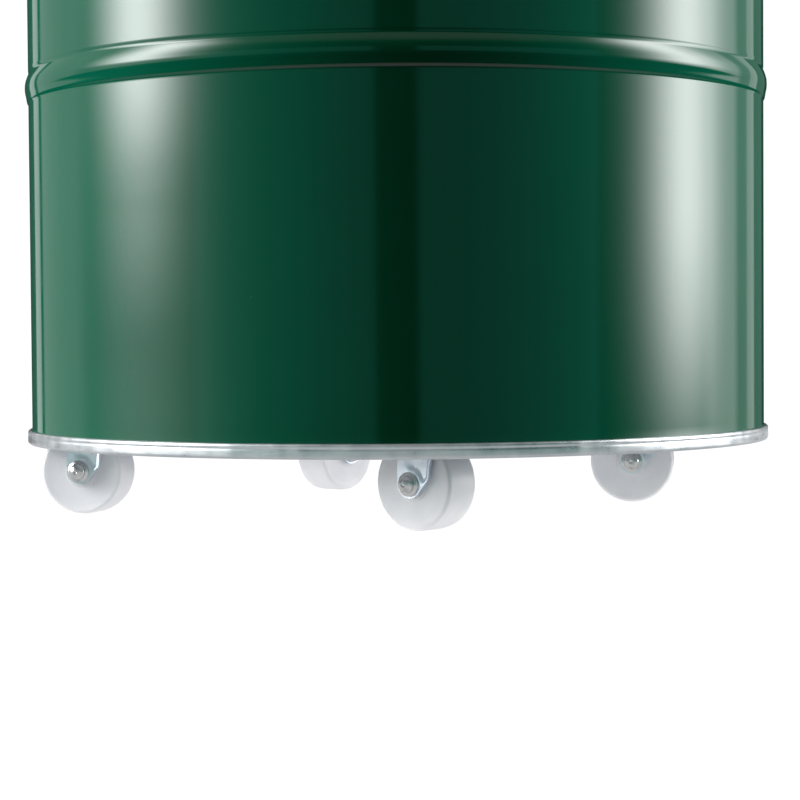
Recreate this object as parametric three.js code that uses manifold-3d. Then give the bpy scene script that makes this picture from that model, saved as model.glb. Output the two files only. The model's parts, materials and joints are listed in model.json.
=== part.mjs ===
// A lidded steel bin on four swivel casters, in millimetres, +Z up.
// The origin is on the floor, on the bin's axis. +Y points to the back, where the body's seam runs.
import * as THREE from "three";
import { mergeVertices } from "three/addons/utils/BufferGeometryUtils.js";
import Module from "manifold-3d";

const wasm = await Module();
wasm.setup();

// Body
const bodyRadius = 172; // outside of the sheet
const bodyHeight = 491; // bottom of the seam to the top of the rolled rim
const sheet = 0.6; // body, pan and lid
const beadFields = 3; // plain fields that the swaged beads divide the wall into
const beadHeight = 14;
const beadReach = 1.5; // bulge, beyond the wall
const grooveDepth = 0.6; // step above the bulge, behind the wall
const rimWireRadius = 2;
const rimWireGap = 0.2; // wire to the sheet rolled round it
const lockSeamWidth = 8; // upright seam at the back
const lockSeamReach = 0.9;
const lockSeamInset = 12; // its ends stop this far from the bottom seam and the rolled rim

// Bottom pan, seamed round the body's foot
const panRecess = 19; // bottom of the seam to the underside of the panel
const seamHeight = 6.4;
const seamReach = 2; // beyond the body
const seamGap = 0.4; // between the layers of the seam
const panDishRadius = 84;
const panDishRise = 3;

// Casters
const casterCircle = 132; // radius of the circle that the kingpins stand on
const casterTurn = 10.4; // degrees from +X to the first caster
const wheelRadius = 20;
const wheelWidth = 18;
const wheelShoulder = 4.5;
const hubProud = 0.4; // hub boss, beyond the wheel's side
const hubRadius = 7;
const trail = 15.6; // kingpin to axle, level
const wheelTopGap = 2.2; // wheel to the fork's web
const legGap = 1; // wheel's side to the leg
const legThickness = 1.5;
const bossRadius = 6; // leg's round foot
const legNose = { out: 10.3, up: 2.6 }; // leg's corner on the kingpin's side, from the axle
const legShoulder = 9; // leg's top corner, beyond the kingpin
const webThickness = 1.6;
const cupRadius = 17; // fork's upturned lip, outside
const cupWall = 1.4;
const cupHeight = 3.4;
const ballRadius = 2;
const ballCircle = 11;
const ballCount = 6;
const ballGap = 0.1; // ball to each race
const cageWidth = 1.2;
const cageHeight = 1;
const raceInner = 8;
const raceOuter = 15;
const raceDrop = 2; // race below the plate
const plateLength = 46;
const plateWidth = 38;
const plateCorner = 4;
const plateThickness = 2;
const plateHoleX = 17; // rivets, from the kingpin
const plateHoleY = 13;
const kingpinRadius = 3;
const kingpinHead = { radius: 5.5, height: 2.6 };
const kingpinTop = { radius: 5, height: 1.2 };
const swivelGap = 0.3; // round the kingpin, and under the web
const axleRadius = 2.5;
const axleFlange = { radius: 5.2, height: 1.1 };
const axleDome = { radius: 3.7, height: 3.2 };
const axleTail = { radius: 4.3, height: 2.1 };
const sleeveWall = 0.9;
const runningGap = 0.3; // axle in sleeve, sleeve in wheel
const casters = [
  { name: "right", heading: 171.5 },
  { name: "rear", heading: 230.6 },
  { name: "left", heading: 164.8 },
  { name: "front", heading: 141.5 },
]; // a quarter turn apart; heading is the way each wheel trails, in degrees from +X

// Rivets
const rivetRadius = 2;
const rivetGap = 0.2; // shank to its hole
const rivetHead = { radius: 3.4, height: 1.6 };
const rivetTail = { radius: 3.2, height: 1.2 };

// Side handles
const handleBelowRim = 80; // pivot, under the top of the rolled rim
const handleRod = 3; // radius
const handleWidth = 104; // between the rod's centre lines
const handleDrop = 50; // pivot to the far side's centre line
const handleCorner = 22;
const handleButtGap = 1; // the rod's ends meet inside the bracket's barrel
const barrelLength = 58;
const barrelWall = 1.2;
const pivotGap = 0.3;
const bracketWidth = 58;
const bracketHeight = 24; // above the pivot
const bracketThickness = 1.5;
const bracketGap = 0.3; // bracket to the wall
const bracketRivetOut = 18; // from the bracket's middle
const bracketRivetUp = 15; // above the pivot

// Lid
const lidGap = 0.3; // lid to the rolled rim, upwards
const lidFit = 1.2; // rolled rim to the lid's skirt, outwards
const lidSkirt = 14;
const lidHem = 2; // hem, beyond the skirt
const lidHemHeight = 2.4;
const lidShoulder = 14; // flat ring that rests on the rim
const lidStep = 5;
const lidStepRun = 4;
const lidRise = 22; // rim to the lid's flat top
const lidTopRadius = 72;
const gripSpan = 124;
const gripWidth = 22;
const gripThickness = 2;
const gripRise = 32;
const gripFoot = 16;
const gripLean = 12; // how far each leg leans in
const gripBend = 8;

// Segments in a full turn
const wide = 40;
const medium = 16;
const small = 10;
const tiny = 8;
const rodSides = 6;
const handleSteps = 44; // along a side handle's rod

// Heights that follow
const webBottom = 2 * wheelRadius + wheelTopGap;
const webTop = webBottom + webThickness;
const ballHeight = webTop + ballGap + ballRadius;
const raceBottom = ballHeight + ballRadius + ballGap;
const plateBottom = raceBottom + raceDrop;
const panelBottom = plateBottom + plateThickness; // the pan rests on the casters' plates
const panelTop = panelBottom + sheet;
const seamBottom = panelBottom - panRecess;
const rimTop = seamBottom + bodyHeight;
const handleHeight = rimTop - handleBelowRim;
const lidBottom = rimTop + lidGap;
const lidTop = lidBottom + lidRise + sheet;

// Radii that follow
const bodyInside = bodyRadius - sheet;
const seamRadius = bodyRadius + seamReach;
const panWall = bodyInside - seamGap; // the pan's upright wall, outside
const curlInside = rimWireRadius + rimWireGap;
const curlOutside = curlInside + sheet;
const curlCentre = bodyInside + curlOutside;
const curlHeight = rimTop - curlOutside;
const skirtInside = curlCentre + curlOutside + lidFit;
const legInside = wheelWidth / 2 + hubProud + legGap;
const legOutside = legInside + legThickness;
const sleeveInside = axleRadius + runningGap;
const sleeveOutside = sleeveInside + sleeveWall;
const handleOut = bodyRadius + bracketGap + barrelWall + pivotGap + handleRod;

const degrees = Math.PI / 180;

const materials = {
  paint: new THREE.MeshStandardMaterial({ color: 0x06402b, roughness: 0.18, metalness: 0 }),
  galvanised: new THREE.MeshStandardMaterial({ color: 0xb4babd, roughness: 0.42, metalness: 1 }),
  zincPlate: new THREE.MeshStandardMaterial({ color: 0xc3ccd4, roughness: 0.28, metalness: 1 }),
  steel: new THREE.MeshStandardMaterial({ color: 0x8d9194, roughness: 0.22, metalness: 1 }),
  nylon: new THREE.MeshStandardMaterial({ color: 0xe3e4ea, roughness: 0.4, metalness: 0 }),
};

// Solids and booleans

// A closed geometry as a solid that booleans take.
function solidOf(geometry) {
  const bare = geometry.index ? geometry.toNonIndexed() : geometry.clone();
  bare.deleteAttribute("normal");
  bare.deleteAttribute("uv");
  const merged = mergeVertices(bare, 1e-4);
  const mesh = new wasm.Mesh({
    numProp: 3,
    vertProperties: merged.attributes.position.array,
    triVerts: new Uint32Array(merged.index.array),
  });
  return new wasm.Manifold(mesh);
}

function geometryOf(solid) {
  const mesh = solid.getMesh();
  const geometry = new THREE.BufferGeometry();
  geometry.setAttribute("position", new THREE.BufferAttribute(mesh.vertProperties, 3));
  geometry.setIndex(new THREE.BufferAttribute(mesh.triVerts, 1));
  geometry.computeVertexNormals();
  return geometry;
}

const joined = (...geometries) =>
  geometryOf(geometries.map(solidOf).reduce((whole, piece) => whole.add(piece)));

const cut = (geometry, ...tools) =>
  geometryOf(tools.map(solidOf).reduce((rest, tool) => rest.subtract(tool), solidOf(geometry)));

// An outline of [radius, height] points turned round the Y axis. It starts and ends on the axis, or closes.
function turned(outline, segments, closed = true, start = 0) {
  const points = outline.map(([radius, height]) => new THREE.Vector2(radius, height));
  if (THREE.ShapeUtils.area(points) < 0) points.reverse();
  if (closed) points.push(points[0].clone());
  return new THREE.LatheGeometry(points, segments, start);
}

// The same, round the Z axis.
const turnedUpright = (outline, segments, closed = true, start = 0) =>
  turned(outline, segments, closed, start).rotateX(Math.PI / 2);

// An upright cylinder from one height to another, for holes.
const drill = (radius, from, to, segments = small) =>
  new THREE.CylinderGeometry(radius, radius, to - from, segments)
    .rotateX(Math.PI / 2)
    .translate(0, 0, (from + to) / 2);

// A plate cut to an outline in X and Z, from one Y to another.
const platedXZ = (shape, from, to, curveSegments) =>
  new THREE.ExtrudeGeometry(shape, { depth: to - from, bevelEnabled: false, curveSegments })
    .rotateX(Math.PI / 2)
    .translate(0, to, 0);

function piece(name, geometry, material) {
  const mesh = new THREE.Mesh(geometry, material);
  mesh.name = name;
  return mesh;
}

// Points on an arc, from one angle to another in degrees.
const arc = (centre, radius, from, to, steps) =>
  Array.from({ length: steps + 1 }, (_, i) => {
    const angle = (from + ((to - from) * i) / steps) * degrees;
    return [centre[0] + radius * Math.cos(angle), centre[1] + radius * Math.sin(angle)];
  });

// A rivet on Z: its head's seat is at 0, and it grips up to its tail.
function rivetGeometry(grip) {
  const outline = [
    [0, -rivetHead.height],
    [rivetHead.radius * 0.6, -rivetHead.height * 0.85],
    [rivetHead.radius, 0],
    [rivetRadius, 0],
    [rivetRadius, grip],
    [rivetTail.radius, grip],
    [rivetTail.radius * 0.8, grip + rivetTail.height],
    [0, grip + rivetTail.height],
  ];
  return turnedUpright(outline, tiny, false);
}

// Body

const beadHeights = Array.from(
  { length: beadFields - 1 },
  (_, i) => seamBottom + (bodyHeight * (i + 1)) / beadFields,
);

// One swaged bead from below, as [distance out from the wall, height]: a bulge, then a step behind the wall.
const beadOutline = [
  [0, -0.5],
  [1, -0.25],
  [0.8, 0.05],
].map(([out, up]) => [out * beadReach, up * beadHeight]);
const grooveOutline = [
  [-1, 0.28],
  [-1, 0.4],
  [0, 0.5],
].map(([out, up]) => [out * grooveDepth, up * beadHeight]);

// The wall's points from the foot up, for its outside or its inside.
const wallPoints = (radius) =>
  beadHeights.flatMap((height) =>
    [...beadOutline, ...grooveOutline].map(([out, up]) => [radius + out, height + up]),
  );

function bodyShell() {
  const hookBottom = seamBottom + sheet + seamGap;
  const hookRadius = seamRadius - sheet - seamGap;
  const outline = [
    [bodyInside, hookBottom],
    [hookRadius, hookBottom],
    [hookRadius, hookBottom + sheet],
    [bodyRadius, hookBottom + sheet],
    ...wallPoints(bodyRadius),
    ...arc([curlCentre, curlHeight], curlInside, 180, -140, 7),
    ...arc([curlCentre, curlHeight], curlOutside, -140, 180, 7),
    ...wallPoints(bodyInside).reverse(),
  ];
  const wall = turnedUpright(outline, wide);
  const seamLength = bodyHeight - seamHeight - 2 * lockSeamInset;
  const lockSeam = new THREE.BoxGeometry(lockSeamWidth, sheet + lockSeamReach, seamLength);
  lockSeam.translate(
    0,
    bodyInside + (sheet + lockSeamReach) / 2,
    seamBottom + seamHeight + lockSeamInset + seamLength / 2,
  );
  const holes = handleSides.flatMap((side) =>
    [-1, 1].map((end) => {
      const hole = drill(rivetRadius + rivetGap, bodyInside - 3, bodyRadius + 3, small);
      return hole
        .rotateY(Math.PI / 2)
        .translate(0, 0, handleHeight + bracketRivetUp)
        .rotateZ(side.turn * degrees + end * bracketRivetTurn);
    }),
  );
  return cut(joined(wall, lockSeam), ...holes);
}

function rimWire() {
  const section = arc([curlCentre, curlHeight], rimWireRadius, 0, 300, 5);
  return turnedUpright(section, wide);
}

function bottomPan() {
  const bend = 2;
  const top = seamBottom + seamHeight;
  const innerWall = panWall - sheet;
  const outline = [
    [0, panelBottom + panDishRise],
    [panDishRadius, panelBottom + panDishRise],
    [panDishRadius + 2 * panDishRise, panelBottom],
    [innerWall - bend, panelBottom],
    [innerWall, panelBottom - bend],
    [innerWall, seamBottom + sheet],
    [panWall, seamBottom],
    [seamRadius - sheet, seamBottom],
    [seamRadius, seamBottom + sheet],
    [seamRadius, top - sheet],
    [seamRadius - sheet, top],
    [bodyRadius + seamGap, top],
    [bodyRadius + seamGap, top - sheet],
    [seamRadius - sheet, top - 2 * sheet],
    [seamRadius - sheet, seamBottom + sheet],
    [panWall, seamBottom + sheet],
    [panWall, panelTop - bend],
    [panWall - bend, panelTop],
    [panDishRadius + 2 * panDishRise, panelTop],
    [panDishRadius, panelTop + panDishRise],
    [0, panelTop + panDishRise],
  ];
  const holes = casters.flatMap((_, i) =>
    plateHoles.map(([x, y]) =>
      drill(rivetRadius + rivetGap, panelBottom - 1, panelTop + 1, tiny)
        .translate(casterCircle + x, y, 0)
        .rotateZ(casterAngle(i)),
    ),
  );
  return cut(turnedUpright(outline, wide, false), ...holes);
}

// Casters. Each stands on its kingpin's axis, with the plate's X pointing out from the bin's axis.

const plateHoles = [
  [-plateHoleX, -plateHoleY],
  [plateHoleX, -plateHoleY],
  [plateHoleX, plateHoleY],
  [-plateHoleX, plateHoleY],
];

const casterAngle = (index) => (casterTurn + (360 / casters.length) * index) * degrees;

function casterPlate() {
  const shape = new THREE.Shape();
  const x = plateLength / 2 - plateCorner;
  const y = plateWidth / 2 - plateCorner;
  shape.absarc(x, y, plateCorner, 0, 90 * degrees);
  shape.absarc(-x, y, plateCorner, 90 * degrees, 180 * degrees);
  shape.absarc(-x, -y, plateCorner, 180 * degrees, 270 * degrees);
  shape.absarc(x, -y, plateCorner, 270 * degrees, 360 * degrees);
  const flat = new THREE.ExtrudeGeometry(shape, {
    depth: plateThickness,
    bevelEnabled: false,
    curveSegments: 3,
  }).translate(0, 0, plateBottom);
  const middle = plateBottom + plateThickness / 2;
  const race = turnedUpright(
    [
      [raceInner, raceBottom],
      [raceOuter, raceBottom],
      [raceOuter, middle],
      [raceInner, middle],
    ],
    medium,
  );
  const seat = panelBottom - kingpinTop.height - swivelGap;
  return cut(
    joined(flat, race),
    drill(kingpinRadius + rivetGap, plateBottom - 1, panelBottom + 1),
    drill(kingpinTop.radius + rivetGap, seat, panelBottom + 1),
    ...plateHoles.map(([holeX, holeY]) =>
      drill(rivetRadius + rivetGap, plateBottom - 1, panelBottom + 1, tiny).translate(holeX, holeY, 0),
    ),
  );
}

function kingpin() {
  const headTop = webBottom - swivelGap;
  const topSeat = panelBottom - kingpinTop.height - swivelGap / 2;
  const outline = [
    [0, headTop - kingpinHead.height],
    [kingpinHead.radius * 0.7, headTop - kingpinHead.height * 0.85],
    [kingpinHead.radius, headTop - kingpinHead.height * 0.35],
    [kingpinHead.radius, headTop],
    [kingpinRadius, headTop],
    [kingpinRadius, topSeat],
    [kingpinTop.radius, topSeat],
    [kingpinTop.radius, topSeat + kingpinTop.height],
    [0, topSeat + kingpinTop.height],
  ];
  return turnedUpright(outline, small, false);
}

function ballRing() {
  const cage = turnedUpright(
    [
      [ballCircle - cageWidth / 2, ballHeight - cageHeight / 2],
      [ballCircle + cageWidth / 2, ballHeight - cageHeight / 2],
      [ballCircle + cageWidth / 2, ballHeight + cageHeight / 2],
      [ballCircle - cageWidth / 2, ballHeight + cageHeight / 2],
    ],
    ballCount,
  );
  const balls = Array.from({ length: ballCount }, (_, i) =>
    new THREE.IcosahedronGeometry(ballRadius)
      .translate(ballCircle, 0, ballHeight)
      .rotateZ((2 * Math.PI * i) / ballCount),
  );
  return joined(cage, ...balls);
}

// The leg's outline in X and Z, with the wheel trailing along +X.
function legShape() {
  const nose = new THREE.Vector2(trail - legNose.out, wheelRadius + legNose.up);
  const noseAngle = Math.PI - Math.atan2(legNose.up, legNose.out);
  const tangent = noseAngle + Math.acos(bossRadius / Math.hypot(legNose.out, legNose.up));
  const shape = new THREE.Shape();
  shape.moveTo(trail + bossRadius, webTop);
  shape.lineTo(trail + bossRadius, wheelRadius);
  shape.absarc(trail, wheelRadius, bossRadius, 0, tangent, true);
  shape.lineTo(nose.x, nose.y);
  shape.quadraticCurveTo(nose.x, (nose.y + 3 * webBottom) / 4, -legShoulder, webBottom);
  shape.lineTo(-legShoulder, webTop);
  return shape;
}

function fork() {
  const cup = turnedUpright(
    [
      [kingpinRadius + swivelGap, webBottom],
      [cupRadius, webBottom],
      [cupRadius, webTop + cupHeight],
      [cupRadius - cupWall, webTop + cupHeight],
      [cupRadius - cupWall, webTop],
      [kingpinRadius + swivelGap, webTop],
    ],
    medium,
  );
  const bridgeLength = trail + bossRadius - raceInner;
  const bridge = new THREE.BoxGeometry(bridgeLength, 2 * legOutside, webThickness);
  bridge.translate(raceInner + bridgeLength / 2, 0, webBottom + webThickness / 2);
  const legs = [
    platedXZ(legShape(), legInside, legOutside, 5),
    platedXZ(legShape(), -legOutside, -legInside, 5),
  ];
  const axleHole = new THREE.CylinderGeometry(
    axleRadius + rivetGap,
    axleRadius + rivetGap,
    2 * legOutside + 2,
    small,
  ).translate(trail, 0, wheelRadius);
  return cut(joined(cup, bridge, ...legs), axleHole);
}

// The wheel turns on Y. Its rim is cut to flats that touch the true radius, and one flat lies on the floor.
function wheel() {
  const side = wheelWidth / 2;
  const flats = 1 / Math.cos(Math.PI / medium);
  const bore = sleeveOutside + runningGap;
  const rim = arc([wheelRadius - wheelShoulder, side - wheelShoulder], wheelShoulder, 90, 0, 2);
  const half = [
    [bore, side + hubProud],
    [hubRadius, side + hubProud],
    [hubRadius + hubProud, side],
    ...rim,
  ].map(([radius, out]) => [radius * flats, out]);
  const other = half.map(([radius, out]) => [radius, -out]).reverse();
  return turned([...half, ...other], medium, true, Math.PI / medium);
}

function sleeve() {
  const end = legInside - 0.05;
  return turned(
    [
      [sleeveInside, -end],
      [sleeveOutside, -end],
      [sleeveOutside, end],
      [sleeveInside, end],
    ],
    small,
  );
}

// The axle is a rivet along Y, with a domed and flanged head on the +Y side.
function axle() {
  const seat = legOutside + 0.1;
  const domeBottom = seat + axleFlange.height;
  const outline = [
    [0, -seat - axleTail.height],
    [axleTail.radius * 0.7, -seat - axleTail.height],
    [axleTail.radius, -seat],
    [axleRadius, -seat],
    [axleRadius, seat],
    [axleFlange.radius, seat],
    [axleFlange.radius, domeBottom],
    [axleDome.radius, domeBottom],
    [axleDome.radius * 0.85, domeBottom + axleDome.height * 0.6],
    [axleDome.radius * 0.5, domeBottom + axleDome.height * 0.92],
    [0, domeBottom + axleDome.height],
  ];
  return turned(outline, small, false);
}

function caster({ name, heading }, index) {
  const stand = new THREE.Group();
  stand.position.set(
    casterCircle * Math.cos(casterAngle(index)),
    casterCircle * Math.sin(casterAngle(index)),
    0,
  );

  const fixed = new THREE.Group();
  fixed.rotation.z = casterAngle(index);
  fixed.add(piece(`caster_${name}_plate`, casterPlate(), materials.zincPlate));
  fixed.add(piece(`caster_${name}_kingpin`, kingpin(), materials.steel));
  fixed.add(piece(`caster_${name}_ball_ring`, ballRing(), materials.steel));
  plateHoles.forEach(([x, y], hole) => {
    const plateRivet = rivetGeometry(panelTop - plateBottom);
    const rivet = piece(`caster_${name}_rivet_${hole + 1}`, plateRivet, materials.steel);
    rivet.position.set(x, y, plateBottom);
    fixed.add(rivet);
  });

  const swivel = new THREE.Group();
  swivel.rotation.z = heading * degrees;
  swivel.add(piece(`caster_${name}_fork`, fork(), materials.zincPlate));
  const onAxle = [
    piece(`caster_${name}_axle`, axle(), materials.steel),
    piece(`caster_${name}_sleeve`, sleeve(), materials.steel),
    piece(`caster_${name}_wheel`, wheel(), materials.nylon),
  ];
  for (const part of onAxle) {
    part.position.set(trail, 0, wheelRadius);
    swivel.add(part);
  }

  stand.add(fixed, swivel);
  return stand;
}

// Side handles. Each is made for the +X side, with its pivot along Y.

const handleSides = [
  { name: "right", turn: 0 },
  { name: "left", turn: 180 },
];

const bracketRivetTurn = Math.asin(bracketRivetOut / bodyRadius);

function handleBracket() {
  const inside = bodyRadius + bracketGap;
  const half = Math.asin(bracketWidth / 2 / inside);
  const shape = new THREE.Shape();
  shape.absarc(0, 0, inside + bracketThickness, -half, half);
  shape.absarc(0, 0, inside, half, -half, true);
  const plate = new THREE.ExtrudeGeometry(shape, {
    depth: bracketHeight,
    bevelEnabled: false,
    curveSegments: 6,
  }).translate(0, 0, handleHeight);
  const barrelRadius = handleRod + pivotGap + barrelWall;
  const barrel = new THREE.CylinderGeometry(barrelRadius, barrelRadius, barrelLength, medium);
  barrel.translate(handleOut, 0, handleHeight);
  const bore = new THREE.CylinderGeometry(
    handleRod + pivotGap,
    handleRod + pivotGap,
    barrelLength + 2,
    medium,
  ).translate(handleOut, 0, handleHeight);
  const holes = [-1, 1].map((end) =>
    drill(rivetRadius + rivetGap, bodyInside, inside + bracketThickness + 2, tiny)
      .rotateY(Math.PI / 2)
      .translate(0, 0, handleHeight + bracketRivetUp)
      .rotateZ(end * bracketRivetTurn),
  );
  return cut(joined(plate, barrel), bore, ...holes);
}

// The rod hangs from its pivot: out of the barrel, round a corner, down, across, and back to its other end.
function sideHandle() {
  const half = handleWidth / 2;
  const at = (y, z) => new THREE.Vector3(0, y, z);
  const low = -handleDrop;
  const corner = (from, middle, to) => new THREE.QuadraticBezierCurve3(from, middle, to);
  const sharp = handleCorner / 3; // the bends beside the barrel are tighter
  const path = new THREE.CurvePath();
  path.add(new THREE.LineCurve3(at(handleButtGap / 2, 0), at(half - sharp, 0)));
  path.add(corner(at(half - sharp, 0), at(half, 0), at(half, -sharp)));
  path.add(new THREE.LineCurve3(at(half, -sharp), at(half, low + handleCorner)));
  path.add(corner(at(half, low + handleCorner), at(half, low), at(half - handleCorner, low)));
  path.add(new THREE.LineCurve3(at(half - handleCorner, low), at(handleCorner - half, low)));
  path.add(corner(at(handleCorner - half, low), at(-half, low), at(-half, low + handleCorner)));
  path.add(new THREE.LineCurve3(at(-half, low + handleCorner), at(-half, -sharp)));
  path.add(corner(at(-half, -sharp), at(-half, 0), at(sharp - half, 0)));
  path.add(new THREE.LineCurve3(at(sharp - half, 0), at(-handleButtGap / 2, 0)));
  const section = new THREE.Shape();
  section.absarc(0, 0, handleRod, 0, 2 * Math.PI);
  return new THREE.ExtrudeGeometry(section, {
    extrudePath: path,
    steps: handleSteps,
    curveSegments: rodSides / 2,
    bevelEnabled: false,
  });
}

function sideHandleSet({ name, turn }) {
  const set = new THREE.Group();
  set.rotation.z = turn * degrees;
  set.add(piece(`handle_${name}_bracket`, handleBracket(), materials.zincPlate));
  const rod = piece(`handle_${name}_rod`, sideHandle(), materials.zincPlate);
  rod.position.set(handleOut, 0, handleHeight);
  set.add(rod);
  [-1, 1].forEach((end, i) => {
    const tilted = new THREE.Group();
    tilted.rotation.z = end * bracketRivetTurn;
    const headSeat = bodyRadius + bracketGap + bracketThickness + 0.1;
    const tailSeat = bodyInside * Math.cos(Math.PI / wide) - rivetGap;
    const rivet = piece(`handle_${name}_rivet_${i + 1}`, rivetGeometry(headSeat - tailSeat), materials.steel);
    rivet.rotation.y = -Math.PI / 2;
    rivet.position.set(headSeat, 0, handleHeight + bracketRivetUp);
    tilted.add(rivet);
    set.add(tilted);
  });
  return set;
}

// Lid

function lidShell() {
  const skirtOutside = skirtInside + sheet;
  const skirtBottom = lidBottom - lidSkirt;
  const shoulder = skirtInside - lidShoulder;
  const outline = [
    [0, lidTop - sheet],
    [lidTopRadius, lidTop - sheet],
    [shoulder - lidStepRun, lidBottom + lidStep],
    [shoulder, lidBottom],
    [skirtInside, lidBottom],
    [skirtInside, skirtBottom],
    [skirtOutside + lidHem, skirtBottom],
    [skirtOutside + lidHem, skirtBottom + lidHemHeight * 0.7],
    [skirtOutside, skirtBottom + lidHemHeight],
    [skirtOutside, lidBottom],
    [skirtOutside - sheet, lidBottom + sheet],
    [shoulder, lidBottom + sheet],
    [shoulder - lidStepRun, lidBottom + lidStep + sheet],
    [lidTopRadius, lidTop],
    [0, lidTop],
  ];
  const holes = gripRivets.map((x) =>
    drill(rivetRadius + rivetGap, lidTop - sheet - 1, lidTop + 1, tiny).translate(x, 0, 0),
  );
  return cut(turnedUpright(outline, wide, false), ...holes);
}

const gripRivets = [-1, 1].map((side) => (side * (gripSpan - gripFoot)) / 2);

function lidGrip() {
  const foot = gripSpan / 2;
  const heel = foot - gripFoot;
  const top = heel - gripLean;
  const shape = new THREE.Shape();
  shape.moveTo(-foot, 0);
  shape.lineTo(-foot, gripThickness);
  shape.lineTo(-heel - gripThickness / 2, gripThickness);
  shape.lineTo(-top - gripThickness, gripRise - gripBend);
  shape.quadraticCurveTo(-top, gripRise, -top + gripBend, gripRise);
  shape.lineTo(top - gripBend, gripRise);
  shape.quadraticCurveTo(top, gripRise, top + gripThickness, gripRise - gripBend);
  shape.lineTo(heel + gripThickness / 2, gripThickness);
  shape.lineTo(foot, gripThickness);
  shape.lineTo(foot, 0);
  shape.lineTo(heel - gripThickness / 2, 0);
  shape.lineTo(top, gripRise - gripBend);
  shape.quadraticCurveTo(
    top - gripThickness,
    gripRise - gripThickness,
    top - gripBend,
    gripRise - gripThickness,
  );
  shape.lineTo(gripBend - top, gripRise - gripThickness);
  shape.quadraticCurveTo(gripThickness - top, gripRise - gripThickness, -top, gripRise - gripBend);
  shape.lineTo(gripThickness / 2 - heel, 0);
  const strap = platedXZ(shape, -gripWidth / 2, gripWidth / 2, 4).translate(0, 0, lidTop);
  const holes = gripRivets.map((x) =>
    drill(rivetRadius + rivetGap, lidTop - 1, lidTop + gripThickness + 1, tiny).translate(x, 0, 0),
  );
  return cut(strap, ...holes);
}

function lidSet() {
  const set = new THREE.Group();
  set.add(piece("lid_shell", lidShell(), materials.paint));
  set.add(piece("lid_grip", lidGrip(), materials.zincPlate));
  gripRivets.forEach((x, i) => {
    const rivet = piece(`lid_rivet_${i + 1}`, rivetGeometry(gripThickness + sheet), materials.steel);
    rivet.rotation.x = Math.PI;
    rivet.position.set(x, 0, lidTop + gripThickness);
    set.add(rivet);
  });
  return set;
}

const bin = new THREE.Group();
bin.add(piece("body_shell", bodyShell(), materials.paint));
bin.add(piece("rim_wire", rimWire(), materials.steel));
bin.add(piece("bottom_pan", bottomPan(), materials.galvanised));
casters.forEach((one, index) => bin.add(caster(one, index)));
handleSides.forEach((side) => bin.add(sideHandleSet(side)));
bin.add(lidSet());

export default bin;
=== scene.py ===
import json
import math

import bmesh
import bpy
from mathutils import Matrix, Vector

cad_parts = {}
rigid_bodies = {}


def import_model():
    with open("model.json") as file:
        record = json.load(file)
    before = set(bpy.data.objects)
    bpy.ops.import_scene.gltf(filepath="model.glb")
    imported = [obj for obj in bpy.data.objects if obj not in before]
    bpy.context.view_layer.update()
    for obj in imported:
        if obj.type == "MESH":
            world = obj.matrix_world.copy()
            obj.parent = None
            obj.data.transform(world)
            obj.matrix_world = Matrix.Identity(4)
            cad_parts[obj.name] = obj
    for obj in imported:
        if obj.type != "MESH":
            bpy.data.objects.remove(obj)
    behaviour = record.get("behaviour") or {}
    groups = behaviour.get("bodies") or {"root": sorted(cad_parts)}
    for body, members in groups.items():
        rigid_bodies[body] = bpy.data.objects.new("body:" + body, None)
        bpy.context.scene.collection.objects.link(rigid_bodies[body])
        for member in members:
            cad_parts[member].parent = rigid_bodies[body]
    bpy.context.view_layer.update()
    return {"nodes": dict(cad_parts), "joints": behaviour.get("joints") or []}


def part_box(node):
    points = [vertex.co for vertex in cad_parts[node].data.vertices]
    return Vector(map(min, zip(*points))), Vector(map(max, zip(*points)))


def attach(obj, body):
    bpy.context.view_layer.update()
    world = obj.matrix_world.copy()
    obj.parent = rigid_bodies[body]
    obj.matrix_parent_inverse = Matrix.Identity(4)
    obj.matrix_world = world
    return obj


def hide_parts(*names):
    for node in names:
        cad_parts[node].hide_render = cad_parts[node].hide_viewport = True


# A lidded steel bin on four swivel casters, in metres, +Z up, with its back towards +Y.
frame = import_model()
scene = bpy.context.scene
nodes = frame["nodes"]
joints = {joint["name"]: joint for joint in frame["joints"]}
mm = 0.001
tiny = 1e-9

# What the frame gives
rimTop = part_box("body_shell")[1].z
seamBottom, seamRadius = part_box("bottom_pan")[0].z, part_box("bottom_pan")[1].y
wheelRadius = joints["wheel_right_roll"]["pos_m"][2]
handleHeight = joints["handle_right_swing"]["pos_m"][2]
handleOut = joints["handle_right_swing"]["pos_m"][0]
casterNames = ["right", "rear", "left", "front"]

# Sizes that several pieces share
sheet = 0.6 * mm  # of the body, the pan and the lid
wallRadius = 172 * mm
seamHeight = 6.4 * mm  # of the bright seam round the foot
lidBottom = rimTop + 0.3 * mm


# Small tools for outlines and meshes


def smooth(value, low, high):
    part = min(1, max(0, (value - low) / (high - low)))
    return part * part * (3 - 2 * part)


def arc(centre, radius, start, end, steps):
    angles = [math.radians(start + (end - start) * i / steps) for i in range(steps + 1)]
    return [(centre[0] + radius * math.cos(a), centre[1] + radius * math.sin(a)) for a in angles]


def softened(outline, steps=5):
    # Each point is (x, y, cut): a corner with a cut is taken round a curve that starts that far before it.
    path = []
    for i, (x, y, cut) in enumerate(outline):
        corner = Vector((x, y))
        if not cut or i in (0, len(outline) - 1):
            path.append((x, y))
            continue
        before, after = Vector(outline[i - 1][:2]) - corner, Vector(outline[i + 1][:2]) - corner
        start, end = corner + before.normalized() * cut, corner + after.normalized() * cut
        for k in range(steps + 1):
            t = k / steps
            path.append(tuple((1 - t) ** 2 * start + 2 * t * (1 - t) * corner + t * t * end))
    return path


def heading(path, i):
    # The direction of a path at one of its points.
    before, after = path[max(0, i - 1)], path[min(len(path) - 1, i + 1)]
    return (Vector(after) - Vector(before)).normalized()


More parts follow.
